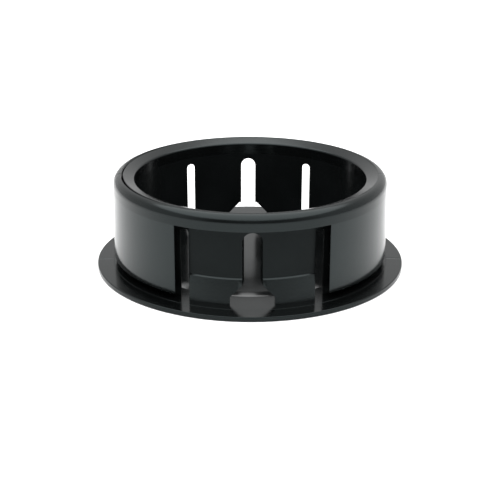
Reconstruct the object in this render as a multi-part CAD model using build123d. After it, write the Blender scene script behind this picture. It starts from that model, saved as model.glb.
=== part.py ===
from build123d import *
from math import sqrt
import os

# Snap-in hole plug, moulded in black nylon: a closed face disc with a flange, a slotted inner
# barrel, a rounded rim that joins the barrel to an outer wall, and two locking wings in that wall.
# Millimetres, +Z up from the underside of the face. The wings are on +X and -X, the windows on
# +Y and -Y. The origin is the centre of the underside.

# ---- driving dimensions ----
HEIGHT = 15.9            # underside of the face to the top of the rim
FLANGE_R = 26.0
FLANGE_T = 0.8
FLANGE_ROUND = 0.15
SEAT_R = 23.25           # inner edge of the flange's seat on the panel
FLOOR_DEPTH = 0.4        # the inside of the face is recessed by this much
FLOOR_R = 16.2           # out to here, and then rises in a curve
STEP_R = 18.2            # to the level of the flange here

BORE_R = 19.35           # inside of the barrel
WALL_T = 1.25            # barrel wall
BAND_R = 22.9            # outside of the rim band, which passes through a 46 mm hole
BAND_LOW = 13.3          # top of the windows and of the wings
RIM_OUTER_ROUND = 1.45   # rounding of the rim's top corners
RIM_INNER_ROUND = 0.35
RIM_FALL = 0.7           # the rim's top falls by this much from its groove to the bore
GROOVE_R = 21.35         # fine groove round the crest of the rim
GROOVE_HALF = 0.06       # half its width, and its depth

WINDOW_HALF = 12.0       # the windows reach from -12 to +12 along X
WING_T = 1.4
WING_FLARE = 0.2         # the wings lean out by this much at their lower edge
WING_LOW = 1.75          # the panel's edge sits between here and the flange
WING_BEVEL = 0.6
HINGE_GAP = 0.15         # height of the thin web at the top of a wing

COLLAR_LOW = 10.5        # below here the barrel is divided by the slots
SLIT_X = 10.5            # middle of a narrow slit
SLIT_W = 1.3
SLIT_TOP = 12.2
SLOT_INNER_HALF = 1.3    # half width of a window's central slot, on the inside of the barrel
SLOT_OUTER_HALF = 1.6    # and on the outside
SLOT_TOP = 12.4
FLARE_HALF = 3.5         # half width of the central slot at its foot
FLARE_TOP = 3.9          # the slot widens from this height
FLARE_LOW = 2.0          # down to this one

PAD_TOP = 4.9            # top of the thickened foot of a web
PAD_TOP_T = 0.2
PAD_FOOT_T = 1.0

WALL_R = BORE_R + WALL_T
WING_INNER_R = BAND_R - WING_T
WING_OUTER_R = BAND_R + WING_FLARE
SLOT_DRAFT = (SLOT_OUTER_HALF - SLOT_INNER_HALF) / WALL_T
SLOT_START = BORE_R - 1.0            # the central slots are cut over this range along Y
SLOT_END = BORE_R + 3.5
SLIT_INNER_X = SLIT_X - SLIT_W / 2
SLIT_OUTER_X = SLIT_X + SLIT_W / 2
REACH = 2 * FLANGE_R     # longer than anything in the part
SIDES = {"left": -1, "right": 1}
ENDS = {"front": -1, "back": 1}


# ---- helpers ----
def turned(points):
    """Solid of revolution about Z from a closed outline of (radius, height) points."""
    outline = [(r, 0, z) for r, z in points]
    return revolve(make_face(Polyline(*outline, close=True)), Axis.Z)


def tube(inner, outer, low, high):
    return turned([(inner, low), (outer, low), (outer, high), (inner, high)])


def region(x_low, x_high, y_low, y_high):
    """Tall block over a rectangle of the XY plane, for cutting an arc out of a ring."""
    size = (x_high - x_low, y_high - y_low, 2 * REACH)
    return Pos((x_low + x_high) / 2, (y_low + y_high) / 2, 0) * Box(*size)


def slit_cutter(x):
    """Round-topped cutter along Y for the slits at x in both windows."""
    crown = SLIT_TOP - SLIT_W / 2
    shank = Pos(x, 0, crown / 2) * Box(SLIT_W, REACH, crown)
    return shank + Pos(x, 0, crown) * Rot(90, 0, 0) * Cylinder(SLIT_W / 2, REACH)


def slot_section(y):
    """Round-topped section of a central slot at distance y along the Y axis."""
    half = SLOT_INNER_HALF + SLOT_DRAFT * (abs(y) - BORE_R)
    crown = SLOT_TOP - half
    foot = Polyline((-half, y, crown), (-half, y, 0), (half, y, 0), (half, y, crown))
    arch = ThreePointArc((half, y, crown), (0, y, SLOT_TOP), (-half, y, crown))
    return make_face(foot + arch)


def slots():
    """The central slots with their flared feet, and the narrow slit on each side of them."""
    flare = Polyline(
        (-FLARE_HALF, 0, 0),
        (FLARE_HALF, 0, 0),
        (FLARE_HALF, 0, FLARE_LOW),
        (SLOT_OUTER_HALF, 0, FLARE_TOP),
        (-SLOT_OUTER_HALF, 0, FLARE_TOP),
        (-FLARE_HALF, 0, FLARE_LOW),
        close=True,
    )
    cutter = extrude(make_face(flare), amount=REACH / 2, both=True)
    for end in ENDS.values():
        cutter += loft([slot_section(end * SLOT_START), slot_section(end * SLOT_END)], ruled=True)
    for side in SIDES.values():
        cutter += slit_cutter(side * SLIT_X)
    return cutter


def web_region(side, end):
    """Block between the central slot and a slit, at one end of the part."""
    xs = sorted((0, side * SLIT_INNER_X))
    ys = sorted((0, end * REACH))
    return region(xs[0], xs[1], ys[0], ys[1])


# ---- sub-parts ----
def face_disc():
    """Closed face inside the flange, with a recessed floor whose edge curves up to the wall."""
    floor = FLANGE_T - FLOOR_DEPTH
    run = STEP_R - FLOOR_R
    curve_r = (run ** 2 + FLOOR_DEPTH ** 2) / (2 * FLOOR_DEPTH)
    half_rise = curve_r - sqrt(curve_r ** 2 - (run / 2) ** 2)
    flat = [(STEP_R, 0, FLANGE_T), (SEAT_R, 0, FLANGE_T), (SEAT_R, 0, 0), (0, 0, 0)]
    outline = Polyline(*flat, (0, 0, floor), (FLOOR_R, 0, floor))
    curve = ThreePointArc(
        (FLOOR_R, 0, floor),
        (FLOOR_R + run / 2, 0, floor + half_rise),
        (STEP_R, 0, FLANGE_T),
    )
    return revolve(make_face(outline + curve), Axis.Z)


def flange_ring():
    """Flange outside the snap body: its top is the seat on the panel."""
    ring = tube(SEAT_R, FLANGE_R, 0, FLANGE_T)
    outer = ring.edges().filter_by(GeomType.CIRCLE).filter_by(lambda e: e.radius > FLANGE_R - 0.01)
    return fillet(outer, FLANGE_ROUND)


def top_corner(ring, radius):
    """The highest circular edge of a ring at this radius."""
    circles = ring.edges().filter_by(GeomType.CIRCLE)
    return circles.filter_by(lambda e: abs(e.radius - radius) < 0.01).sort_by(Axis.Z)[-1]


def rim_inner_bead():
    """Inner half of the rim: its top falls towards the bore."""
    inner_top = HEIGHT - RIM_FALL
    ring = turned([(BORE_R, BAND_LOW), (GROOVE_R, BAND_LOW), (GROOVE_R, HEIGHT), (BORE_R, inner_top)])
    ring = fillet(top_corner(ring, BORE_R), RIM_INNER_ROUND)
    return chamfer(top_corner(ring, GROOVE_R), GROOVE_HALF)


def rim_outer_band():
    """Outer half of the rim: one large rounded corner."""
    ring = tube(GROOVE_R, BAND_R, BAND_LOW, HEIGHT)
    ring = fillet(top_corner(ring, BAND_R), RIM_OUTER_ROUND)
    return chamfer(top_corner(ring, GROOVE_R), GROOVE_HALF)


def slot_collar():
    """Unbroken top of the barrel, with the round crowns of the slots in its lower edge."""
    return tube(BORE_R, WALL_R, COLLAR_LOW, BAND_LOW) - slots()


def side_wall(side):
    """Side of the barrel behind a wing, between the front slit and the back slit."""
    xs = sorted((side * SLIT_OUTER_X, side * REACH))
    return tube(BORE_R, WALL_R, FLANGE_T, COLLAR_LOW) & region(xs[0], xs[1], -REACH, REACH)


def web(side, end):
    """Strip of the barrel between a slit and the central slot of a window."""
    strip = tube(BORE_R, WALL_R, FLANGE_T, COLLAR_LOW) & web_region(side, end)
    return strip - slots()


def web_pad(side, end):
    """Thickened foot of a web: a low ramp on its outside."""
    ramp = turned([
        (WALL_R, FLANGE_T),
        (WALL_R + PAD_FOOT_T, FLANGE_T),
        (WALL_R + PAD_TOP_T, PAD_TOP - PAD_TOP_T),
        (WALL_R, PAD_TOP),
    ])
    return (ramp & web_region(side, end)) - slots()


def locking_wing(side):
    """Outer wall on one side, free below and hung by a thin web from the rim."""
    ring = turned([
        (WING_INNER_R, WING_LOW),
        (WING_OUTER_R - WING_BEVEL, WING_LOW),
        (WING_OUTER_R, WING_LOW + WING_BEVEL),
        (BAND_R, BAND_LOW - HINGE_GAP),
        (WING_INNER_R, BAND_LOW - HINGE_GAP),
    ])
    xs = sorted((side * WINDOW_HALF, side * REACH))
    return ring & region(xs[0], xs[1], -REACH, REACH)


# ---- all nodes ----
def build():
    nodes = {
        "face_disc": face_disc(),
        "flange_ring": flange_ring(),
        "rim_inner_bead": rim_inner_bead(),
        "rim_outer_band": rim_outer_band(),
        "slot_collar": slot_collar(),
    }
    for side_name, side in SIDES.items():
        nodes[side_name + "_side_wall"] = side_wall(side)
        nodes[side_name + "_locking_wing"] = locking_wing(side)
        for end_name, end in ENDS.items():
            place = end_name + "_" + side_name
            nodes[place + "_web"] = web(side, end)
            nodes[place + "_web_pad"] = web_pad(side, end)
    return nodes


os.makedirs("parts", exist_ok=True)
for name, shape in build().items():
    export_step(shape, "parts/" + name + ".step")
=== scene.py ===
import math

import bmesh
import bpy
from mathutils import Matrix, Vector


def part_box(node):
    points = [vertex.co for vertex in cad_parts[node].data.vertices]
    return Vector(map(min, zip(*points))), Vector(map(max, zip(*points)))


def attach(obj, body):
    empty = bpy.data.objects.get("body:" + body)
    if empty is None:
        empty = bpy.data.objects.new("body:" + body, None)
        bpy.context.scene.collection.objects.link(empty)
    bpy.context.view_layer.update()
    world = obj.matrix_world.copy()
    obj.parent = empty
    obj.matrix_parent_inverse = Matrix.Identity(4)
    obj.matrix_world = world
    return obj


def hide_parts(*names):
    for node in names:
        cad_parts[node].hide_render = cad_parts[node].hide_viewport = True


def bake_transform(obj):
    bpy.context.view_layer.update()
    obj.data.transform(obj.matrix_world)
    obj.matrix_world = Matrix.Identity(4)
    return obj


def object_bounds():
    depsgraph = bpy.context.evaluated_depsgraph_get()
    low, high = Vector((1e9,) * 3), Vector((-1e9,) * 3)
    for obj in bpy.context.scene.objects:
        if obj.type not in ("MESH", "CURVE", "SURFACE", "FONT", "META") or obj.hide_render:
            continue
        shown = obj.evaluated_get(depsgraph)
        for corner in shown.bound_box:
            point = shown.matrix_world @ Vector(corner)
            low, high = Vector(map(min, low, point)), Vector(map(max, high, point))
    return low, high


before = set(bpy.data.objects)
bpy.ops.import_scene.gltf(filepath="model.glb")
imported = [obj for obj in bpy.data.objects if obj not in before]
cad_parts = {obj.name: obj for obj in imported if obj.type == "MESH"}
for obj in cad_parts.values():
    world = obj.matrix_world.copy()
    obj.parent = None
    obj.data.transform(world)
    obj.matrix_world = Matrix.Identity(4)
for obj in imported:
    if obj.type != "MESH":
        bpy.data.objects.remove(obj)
cad_low, cad_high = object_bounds()

# ---- sizes, in metres, read from the frame ----
MM = 0.001
HEIGHT = cad_high.z
FLANGE_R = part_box("flange_ring")[1].x
FLANGE_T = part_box("flange_ring")[1].z
SEAT_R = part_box("face_disc")[1].x
BAND_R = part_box("rim_outer_band")[1].x
BAND_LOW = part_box("rim_outer_band")[0].z
GROOVE_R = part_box("rim_inner_bead")[1].x
WALL_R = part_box("slot_collar")[1].x
COLLAR_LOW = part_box("slot_collar")[0].z
SLIT_OUTER_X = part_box("right_side_wall")[0].x
SLIT_INNER_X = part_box("back_right_web")[1].x
BORE_R = math.hypot(SLIT_INNER_X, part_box("back_right_web")[0].y)
WINDOW_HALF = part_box("right_locking_wing")[0].x
WING_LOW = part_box("right_locking_wing")[0].z
WING_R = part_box("right_locking_wing")[1].x
PAD_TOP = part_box("back_right_web_pad")[1].z

# ---- sizes that a box can't give ----
WING_T = 1.4 * MM
WING_BEVEL = 0.6 * MM
RIM_FALL = 0.7 * MM      # the rim's top falls by this much from its groove to the bore
RIM_INNER_ROUND = 0.35 * MM
RIM_OUTER_ROUND = 1.45 * MM
FLANGE_ROUND = 0.15 * MM
FLOOR_DEPTH = 0.4 * MM   # the face's inside is recessed by this much out to FLOOR_R,
FLOOR_R = 15.0 * MM      # and curves up to the level of the flange at STEP_R
STEP_R = 18.2 * MM
SLIT_TOP = 12.2 * MM
SLOT_TOP = 12.4 * MM
SLOT_INNER_HALF = 1.3 * MM
SLOT_OUTER_HALF = 1.6 * MM
FLARE_HALF = 3.5 * MM
FLARE_TOP = 3.9 * MM
FLARE_LOW = 2.0 * MM
PAD_TOP_T = 0.2 * MM
PAD_FOOT_T = 1.0 * MM
EDGE = 0.06 * MM         # rounding of the moulding's small edges
SEAM = EDGE / 2          # edges this near to a joint between pieces stay sharp
WING_LEVELS = 14         # rows of points down a wing
GROOVE_HALF = 0.32 * MM  # groove of the rim where it is widest, and its depth there
GROOVE_DEPTH = 0.6 * MM
WITNESS = 0.03 * MM      # fine circular line where the flange meets the face
LINE_DEPTH = 0.07 * MM   # fine radial parting lines, at these angles in degrees
PARTINGS = (183, 356)
PARTING_HALF = 0.2       # half the width of a parting line, in degrees
PARTING_EDGES = (-0.35, -0.12, 0.12, 0.35)   # extra sections round a parting line
SEGMENTS = 288           # round the full circle
REACH = 2 * FLANGE_R     # longer than anything in the part
SIDES = {"left": -1, "right": 1}
ENDS = {"front": -1, "back": 1}


# ---- mesh helpers ----
def arc(r, z, radius, start, end, steps=10):
    """Points (radius, height) on an arc round (r, z), from start to end in degrees."""
    points = []
    for i in range(steps + 1):
        a = math.radians(start + (end - start) * i / steps)
        points.append((r + radius * math.cos(a), z + radius * math.sin(a)))
    return points


def new_object(name, bm):
    if bm.calc_volume(signed=True) < 0:
        bmesh.ops.reverse_faces(bm, faces=bm.faces)
    mesh = bpy.data.meshes.new(name)
    bm.to_mesh(mesh)
    bm.free()
    obj = bpy.data.objects.new(name, mesh)
    bpy.context.scene.collection.objects.link(obj)
    return obj


def turn_angles():
    """Angles of the sections of a turned piece, closer together at the parting lines."""
    angles = [360 * i / SEGMENTS for i in range(SEGMENTS)]
    for parting in PARTINGS:
        angles += [(parting + offset) % 360 for offset in PARTING_EDGES]
    return sorted(angles)


def lathe(name, outline, shape=None):
    """Solid of revolution about Z. outline is a closed loop of (radius, height) points.
    shape(r, z, degrees) may move a point as it goes round."""
    bm = bmesh.new()
    rings = []
    for degrees in turn_angles():
        a = math.radians(degrees)
        ring = []
        for r, z in outline:
            if shape:
                r, z = shape(r, z, degrees)
            ring.append(bm.verts.new((r * math.cos(a), r * math.sin(a), z)))
        rings.append(ring)
    count = len(outline)
    for i in range(len(rings)):
        here, there = rings[i], rings[(i + 1) % len(rings)]
        for j in range(count):
            k = (j + 1) % count
            if outline[j][0] == 0 and outline[k][0] == 0:
                continue
            bm.faces.new((here[j], there[j], there[k], here[k]))
    bmesh.ops.remove_doubles(bm, verts=bm.verts, dist=1e-7)
    return new_object(name, bm)


def line_depth(degrees):
    """Depth of the nearest parting line at this angle."""
    for parting in PARTINGS:
        away = abs((degrees - parting + 180) % 360 - 180)
        if away < PARTING_HALF:
            return LINE_DEPTH
    return 0


def prism(name, outline, low, high, far_outline=None):
    """Closed block along Y from an outline of (x, z) points, and perhaps another at its far end."""
    bm = bmesh.new()
    near = [bm.verts.new((x, low, z)) for x, z in outline]
    far = [bm.verts.new((x, high, z)) for x, z in far_outline or outline]
    bm.faces.new(near)
    bm.faces.new(list(reversed(far)))
    for i in range(len(outline)):
        j = (i + 1) % len(outline)
        bm.faces.new((near[j], near[i], far[i], far[j]))
    return new_object(name, bm)


def combine(obj, tool, operation):
    """Boolean of obj with tool, which is used up."""
    modifier = obj.modifiers.new("boolean", "BOOLEAN")
    modifier.operation = operation
    modifier.solver = "EXACT"
    modifier.object = tool
    bpy.context.view_layer.update()
    evaluated = obj.evaluated_get(bpy.context.evaluated_depsgraph_get())
    mesh = bpy.data.meshes.new_from_object(evaluated)
    obj.modifiers.clear()
    obj.data = mesh
    bpy.data.objects.remove(tool)


def round_edges(obj, wanted):
    """Rounds the sharp edges whose middle point passes wanted(point)."""
    bm = bmesh.new()
    bm.from_mesh(obj.data)
    bmesh.ops.remove_doubles(bm, verts=bm.verts, dist=2e-6)
    sharp = math.radians(25)
    edges = []
    for edge in bm.edges:
        if len(edge.link_faces) != 2 or edge.calc_face_angle() < sharp:
            continue
        if wanted((edge.verts[0].co + edge.verts[1].co) / 2):
            edges.append(edge)
    bmesh.ops.bevel(bm, geom=edges, offset=EDGE, segments=3, profile=0.5, affect="EDGES",
                    clamp_overlap=True)
    bm.to_mesh(obj.data)
    bm.free()


def smooth(obj):
    """Smooth shading that keeps flat faces flat."""
    for polygon in obj.data.polygons:
        polygon.use_smooth = True
    obj.data.set_sharp_from_angle(angle=math.radians(40))
    modifier = obj.modifiers.new("weighted_normals", "WEIGHTED_NORMAL")
    modifier.keep_sharp = True
    return obj


# ---- materials ----
BLACK_DARK = (0.0042, 0.0049, 0.0050)
BLACK_LIGHT = (0.0065, 0.0076, 0.0078)
COOL_TINT = (0.84, 0.99, 1.0)


def black_nylon(name, shade, ior, roughness, grain, scratch):
    """Black moulded plastic. shade scales its colour, and is lowered to paint shade onto some
    parts;
    ior is lowered on some parts to paint dimmer reflections there. grain is the strength of its
    fine texture and scratch that of its wear."""
    material = bpy.data.materials.new(name)
    material.use_nodes = True
    nodes, links = material.node_tree.nodes, material.node_tree.links
    shader = nodes["Principled BSDF"]
    shader.inputs["IOR"].default_value = ior
    shader.inputs["Specular Tint"].default_value = (*COOL_TINT, 1)
    place = nodes.new("ShaderNodeTexCoord")

    cloud = nodes.new("ShaderNodeTexNoise")
    cloud.inputs["Scale"].default_value = 140
    cloud.inputs["Detail"].default_value = 5
    links.new(place.outputs["Object"], cloud.inputs["Vector"])

    colour = nodes.new("ShaderNodeValToRGB")
    colour.color_ramp.elements[0].position = 0.3
    # shade scales both ends of the colour, painting shade onto the darker parts
    colour.color_ramp.elements[0].color = (*(c * shade for c in BLACK_DARK), 1)
    colour.color_ramp.elements[1].position = 0.75
    colour.color_ramp.elements[1].color = (*(c * shade for c in BLACK_LIGHT), 1)
    links.new(cloud.outputs["Fac"], colour.inputs["Fac"])
    links.new(colour.outputs["Color"], shader.inputs["Base Color"])

    shine = nodes.new("ShaderNodeMapRange")
    shine.inputs["From Min"].default_value = 0.3
    shine.inputs["From Max"].default_value = 0.7
    shine.inputs["To Min"].default_value = roughness * 0.8
    shine.inputs["To Max"].default_value = roughness * 1.25
    links.new(cloud.outputs["Fac"], shine.inputs["Value"])
    links.new(shine.outputs["Result"], shader.inputs["Roughness"])

    fine = nodes.new("ShaderNodeTexNoise")
    fine.inputs["Scale"].default_value = 2200
    fine.inputs["Detail"].default_value = 3
    links.new(place.outputs["Object"], fine.inputs["Vector"])
    skin = nodes.new("ShaderNodeBump")
    skin.inputs["Strength"].default_value = grain
    skin.inputs["Distance"].default_value = 0.02 * MM
    links.new(fine.outputs["Fac"], skin.inputs["Height"])

    wear = nodes.new("ShaderNodeTexNoise")
    wear.inputs["Scale"].default_value = 90
    wear.inputs["Detail"].default_value = 2
    links.new(place.outputs["Object"], wear.inputs["Vector"])
    ripple = nodes.new("ShaderNodeBump")
    ripple.inputs["Strength"].default_value = scratch
    ripple.inputs["Distance"].default_value = 0.2 * MM
    links.new(wear.outputs["Fac"], ripple.inputs["Height"])
    links.new(skin.outputs["Normal"], ripple.inputs["Normal"])
    links.new(ripple.outputs["Normal"], shader.inputs["Normal"])
    return material


def plain(name, colour, roughness):
    material = bpy.data.materials.new(name)
    material.use_nodes = True
    shader = material.node_tree.nodes["Principled BSDF"]
    shader.inputs["Base Color"].default_value = (*colour, 1)
    shader.inputs["Roughness"].default_value = roughness
    shader.inputs["Specular IOR Level"].default_value = 0.2
    return material


# One black nylon, copied for groups of parts, with its colour scaled by shade and its reflection
# set by ior as painted shade and painted reflection: the face and flange are painted darkest, the
# collar, webs and side walls reflect least, and the wings most.
FLANGE_SHADE_NYLON = black_nylon("polished_nylon", 0.4, 1.31, 0.16, 0.10, 0.02)
OUTER = black_nylon("outer_nylon", 0.8, 1.37, 0.16, 0.20, 0.03)
RIM = black_nylon("rim_nylon", 0.6, 1.32, 0.20, 0.25, 0.03)
WALL_SHADED_REFLECTION_NYLON = black_nylon("wall_painted_shade_nylon", 1.0, 1.17, 0.20, 0.20, 0.03)


def finish_piece(obj, body, material, slot, *nodes):
    obj.data.materials.clear()
    obj.data.materials.append(material)
    smooth(obj)
    if body:
        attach(obj, body)
    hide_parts(*nodes)
    return obj


# ---- pieces ----
def make_face():
    """Closed face: flat below, with a recessed floor inside whose edge curves up."""
    floor = FLANGE_T - FLOOR_DEPTH
    run = STEP_R - FLOOR_R
    curve_r = (run ** 2 + FLOOR_DEPTH ** 2) / (2 * FLOOR_DEPTH)
    end = math.degrees(math.asin(run / curve_r)) - 90
    outline = [(0, floor)] + arc(FLOOR_R, floor + curve_r, curve_r, -90, end)
    outline += [(SEAT_R - WITNESS, FLANGE_T), (SEAT_R, FLANGE_T - WITNESS), (SEAT_R, 0), (0, 0)]
    face = lathe("face", outline)
    finish_piece(face, "cap_body", FLANGE_SHADE_NYLON, "polished_nylon", "face_disc")


def make_flange():
    """Flange with rounded edges and a fine radial parting line on each side."""
    outline = [(SEAT_R, 0)]
    outline += arc(FLANGE_R - FLANGE_ROUND, FLANGE_ROUND, FLANGE_ROUND, -90, 0, 6)
    outline += arc(FLANGE_R - FLANGE_ROUND, FLANGE_T - FLANGE_ROUND, FLANGE_ROUND, 0, 90, 6)
    outline += [(SEAT_R + WITNESS, FLANGE_T), (SEAT_R, FLANGE_T - WITNESS)]

    def parted(r, z, degrees):
        return (r, z - line_depth(degrees)) if z > FLANGE_T - WITNESS / 2 else (r, z)

    flange = lathe("flange", outline, parted)
    finish_piece(flange, "cap_body", FLANGE_SHADE_NYLON, "polished_nylon", "flange_ring")


# How deep the rim's groove is, as (angle in degrees, strength): deepest on the left, and gone at
# the front.
GROOVE_STRENGTHS = (
    (0, 0.1), (12, 0.5), (60, 0.3), (115, 0.3), (130, 0.7), (160, 1.0), (178, 1.0), (184, 0.6),
    (190, 1.0), (236, 1.0), (250, 0.6), (260, 0.05), (290, 0.05), (305, 0.3), (328, 0.35),
    (336, 0.05), (352, 0.05), (360, 0.1),
)


def groove_strength(degrees):
    for (start, low), (end, high) in zip(GROOVE_STRENGTHS, GROOVE_STRENGTHS[1:]):
        if start <= degrees <= end:
            return low + (high - low) * (degrees - start) / (end - start)


def grooved(r, z, degrees):
    """Scales the points of the groove, and sinks the parting lines into the outer half."""
    if abs(r - GROOVE_R) <= GROOVE_HALF * 1.01 and z > HEIGHT - GROOVE_DEPTH * 1.01:
        strength = groove_strength(degrees)
        r = GROOVE_R + (r - GROOVE_R) * strength
        z = HEIGHT - (HEIGHT - z) * strength
    if r > GROOVE_R and z > HEIGHT - RIM_OUTER_ROUND:
        z -= line_depth(degrees)
    return r, z


def make_rim():
    """Rounded rim in two halves, with the groove between them."""
    shoulder = GROOVE_HALF * 0.45
    slope = math.atan(RIM_FALL / (GROOVE_R - BORE_R))
    corner_r = BORE_R + RIM_INNER_ROUND
    corner_z = HEIGHT - (GROOVE_R - corner_r) * math.tan(slope) - RIM_INNER_ROUND / math.cos(slope)
    inner = [(BORE_R, BAND_LOW)]
    inner += arc(corner_r, corner_z, RIM_INNER_ROUND, 180, 90 + math.degrees(slope), 12)
    inner += [(GROOVE_R - GROOVE_HALF, HEIGHT - GROOVE_HALF * math.tan(slope)),
              (GROOVE_R - shoulder, HEIGHT - shoulder),
              (GROOVE_R, HEIGHT - GROOVE_DEPTH), (GROOVE_R, BAND_LOW)]
    bead = lathe("rim_inner_bead_skin", inner, grooved)
    finish_piece(bead, "cap_body", RIM, "moulded_nylon", "rim_inner_bead")
    outer = [(GROOVE_R, BAND_LOW), (GROOVE_R, HEIGHT - GROOVE_DEPTH),
             (GROOVE_R + shoulder, HEIGHT - shoulder), (GROOVE_R + GROOVE_HALF, HEIGHT)]
    outer += arc(BAND_R - RIM_OUTER_ROUND, HEIGHT - RIM_OUTER_ROUND, RIM_OUTER_ROUND, 80, 0, 18)
    outer += [(BAND_R, BAND_LOW)]
    band = lathe("rim_outer_band_skin", outer, grooved)
    finish_piece(band, "cap_body", RIM, "moulded_nylon", "rim_outer_band")


def slot_outline(x, half, top):
    """Outline of a round-topped slot at x, from far below the part."""
    return [(x - half, -REACH)] + arc(x, top - half, half, 180, 0, 16) + [(x + half, -REACH)]


def cut_slots(obj):
    """Cuts both windows' slits, and their central slots, which are wider outside than inside."""
    slit_half = (SLIT_OUTER_X - SLIT_INNER_X) / 2
    slit_x = (SLIT_OUTER_X + SLIT_INNER_X) / 2
    for side in SIDES.values():
        outline = slot_outline(side * slit_x, slit_half, SLIT_TOP)
        combine(obj, prism("cutter", outline, -REACH, REACH), "DIFFERENCE")
    foot = []
    for half, z in ((FLARE_HALF, -REACH), (FLARE_HALF, FLARE_LOW), (SLOT_OUTER_HALF, FLARE_TOP)):
        foot = [(-half, z)] + foot + [(half, z)]
    combine(obj, prism("cutter", foot, -REACH, REACH), "DIFFERENCE")
    draft = (SLOT_OUTER_HALF - SLOT_INNER_HALF) / (WALL_R - BORE_R)
    start, finish = BORE_R - 1.0 * MM, BORE_R + 3.5 * MM
    ends = []
    for y in (start, finish):
        ends.append(slot_outline(0, SLOT_INNER_HALF + draft * (y - BORE_R), SLOT_TOP))
    for end in ENDS.values():
        combine(obj, prism("cutter", ends[0], end * start, end * finish, ends[1]), "DIFFERENCE")


def keep_region(obj, x_low, x_high, y_low, y_high):
    outline = [(x_low, -REACH), (x_high, -REACH), (x_high, REACH), (x_low, REACH)]
    combine(obj, prism("region", outline, y_low, y_high), "INTERSECT")


def ring_outline(inner, outer, low, high):
    return [(inner, low), (outer, low), (outer, high), (inner, high)]


def make_collar():
    collar = lathe("slot_collar_skin", ring_outline(BORE_R, WALL_R, COLLAR_LOW, BAND_LOW))
    cut_slots(collar)
    round_edges(collar, lambda p: COLLAR_LOW + SEAM < p.z < BAND_LOW - SEAM)
    finish_piece(collar, "cap_body", WALL_SHADED_REFLECTION_NYLON, "moulded_nylon", "slot_collar")


def make_webs():
    for end_name, end in ENDS.items():
        for side_name, side in SIDES.items():
            xs = sorted((0, side * SLIT_INNER_X))
            ys = sorted((0, end * REACH))
            node = end_name + "_" + side_name + "_web"
            web = lathe(node + "_skin", ring_outline(BORE_R, WALL_R, FLANGE_T, COLLAR_LOW))
            keep_region(web, *xs, *ys)
            cut_slots(web)
            round_edges(web, lambda p: FLANGE_T + SEAM < p.z < COLLAR_LOW - SEAM)
            finish_piece(web, "cap_body", WALL_SHADED_REFLECTION_NYLON, "moulded_nylon", node)
            outline = [(WALL_R - EDGE, FLANGE_T), (WALL_R + PAD_FOOT_T, FLANGE_T),
                       (WALL_R + PAD_TOP_T, PAD_TOP - PAD_TOP_T), (WALL_R, PAD_TOP),
                       (WALL_R - EDGE, PAD_TOP - EDGE)]
            pad = lathe(node + "_pad_skin", outline)
            keep_region(pad, *xs, *ys)
            cut_slots(pad)
            round_edges(pad, lambda p: p.z > FLANGE_T + SEAM and math.hypot(p.x, p.y) > WALL_R)
            finish_piece(pad, "cap_body", RIM, "moulded_nylon", node + "_pad")


def make_side_walls():
    for side_name, side in SIDES.items():
        node = side_name + "_side_wall"
        xs = sorted((side * SLIT_OUTER_X, side * REACH))
        wall = lathe(node + "_skin", ring_outline(BORE_R, WALL_R, FLANGE_T, COLLAR_LOW))
        keep_region(wall, *xs, -REACH, REACH)
        round_edges(wall, lambda p: FLANGE_T + SEAM < p.z < COLLAR_LOW - SEAM)
        finish_piece(wall, "cap_body", WALL_SHADED_REFLECTION_NYLON, "moulded_nylon", node)


def make_wings():
    """Each wing slopes out from below the rim to a bevelled lower edge."""
    inner_r = BAND_R - WING_T
    for side_name, side in SIDES.items():
        node = side_name + "_locking_wing"
        outline = []
        for i in range(WING_LEVELS + 1):
            outline.append((inner_r, BAND_LOW + (WING_LOW - BAND_LOW) * i / WING_LEVELS))
        bevel_top = WING_LOW + WING_BEVEL
        outline += arc(WING_R - WING_BEVEL, bevel_top, WING_BEVEL, -90, 0, 6)
        for i in range(1, WING_LEVELS + 1):
            t = i / WING_LEVELS
            outline.append((WING_R + (BAND_R - WING_R) * t, bevel_top + (BAND_LOW - bevel_top) * t))
        wing = lathe(node + "_skin", outline)
        xs = sorted((side * WINDOW_HALF, side * REACH))
        keep_region(wing, *xs, -REACH, REACH)
        round_edges(wing, lambda p: p.z < BAND_LOW - SEAM)
        finish_piece(wing, None, OUTER, "moulded_nylon", node)
        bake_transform(wing)


make_face()
make_flange()
make_rim()
make_collar()
make_webs()
make_side_walls()
make_wings()


# ---- floor, light and camera ----
STAGE_R = 3.0                           # radius of the studio floor, in metres
STAGE_GAP = 0.02 * MM                   # the floor lies this far below the part
CAMERA_SIDE = (0, -0.97, 0.24)          # the studio is darkest in this direction
AIM_Z = 1.72 * MM                       # the camera looks at this height on the axis
CAMERA_DISTANCE = 196.9 * MM
CAMERA_ANGLES = (-1.12, 21.06, 0.18)    # azimuth, elevation and roll, in degrees
CAMERA_LENS = 82.4


def make_floor():
    bm = bmesh.new()
    bmesh.ops.create_circle(bm, cap_ends=True, segments=128, radius=STAGE_R)
    floor = new_object("floor", bm)
    floor.location.z = cad_low.z - STAGE_GAP
    floor.data.materials.append(plain("pale_floor", (0.92, 0.92, 0.92), 0.8))


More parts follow.
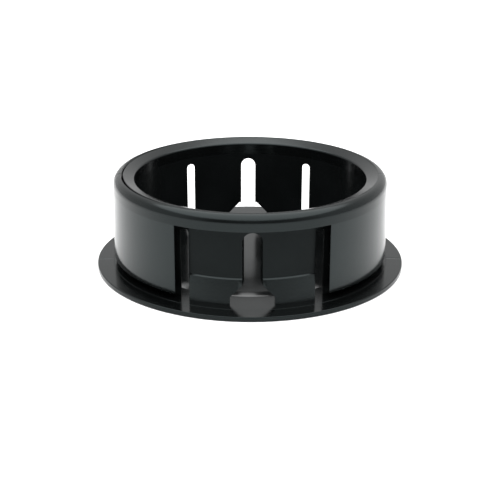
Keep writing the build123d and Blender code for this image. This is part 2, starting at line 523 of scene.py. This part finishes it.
def make_world():
    """Even white studio, darker round the camera, so that the rim's outer side stays dark."""
    world = bpy.data.worlds.new("studio")
    bpy.context.scene.world = world
    world.use_nodes = True
    nodes, links = world.node_tree.nodes, world.node_tree.links
    place = nodes.new("ShaderNodeTexCoord")
    toward = nodes.new("ShaderNodeVectorMath")
    toward.operation = "DOT_PRODUCT"
    toward.inputs[1].default_value = CAMERA_SIDE
    links.new(place.outputs["Generated"], toward.inputs[0])
    shade = nodes.new("ShaderNodeValToRGB")
    shade.color_ramp.interpolation = "EASE"
    shade.color_ramp.elements[0].position = 0.45
    shade.color_ramp.elements[0].color = (1, 1, 1, 1)
    shade.color_ramp.elements[1].position = 0.95
    shade.color_ramp.elements[1].color = (0.12, 0.12, 0.12, 1)
    links.new(toward.outputs["Value"], shade.inputs["Fac"])
    background = nodes["Background"]
    links.new(shade.outputs["Color"], background.inputs["Color"])
    background.inputs["Strength"].default_value = 1.0


def soft_light(name, place, size, power):
    light = bpy.data.lights.new(name, "AREA")
    light.shape = "DISK"
    light.size = size
    light.energy = power
    lamp = bpy.data.objects.new(name, light)
    lamp.location = place
    aim = Vector((0, 0, HEIGHT / 2)) - Vector(place)
    lamp.rotation_mode = "QUATERNION"
    lamp.rotation_quaternion = aim.to_track_quat("-Z", "Y")
    bpy.context.scene.collection.objects.link(lamp)


def make_camera():
    """Long lens from slightly above, a little left of the middle of the front window."""
    azimuth, elevation, roll = (math.radians(a) for a in CAMERA_ANGLES)
    target = Vector((0, 0, AIM_Z))
    back = Vector((
        math.sin(azimuth) * math.cos(elevation),
        -math.cos(azimuth) * math.cos(elevation),
        math.sin(elevation),
    ))
    data = bpy.data.cameras.new("camera")
    data.lens = CAMERA_LENS
    data.clip_start = 0.005
    data.clip_end = 20
    camera = bpy.data.objects.new("camera", data)
    camera.location = target + back * CAMERA_DISTANCE
    camera.rotation_mode = "QUATERNION"
    spin = Matrix.Rotation(roll, 3, "Z").to_quaternion()
    camera.rotation_quaternion = (-back).to_track_quat("-Z", "Y") @ spin
    bpy.context.scene.collection.objects.link(camera)
    bpy.context.scene.camera = camera


make_floor()
make_world()
soft_light("top_soft_box", (0.0, -0.05, 0.45), 0.95, 6.4)
make_camera()
bpy.context.scene.view_settings.view_transform = "Standard"
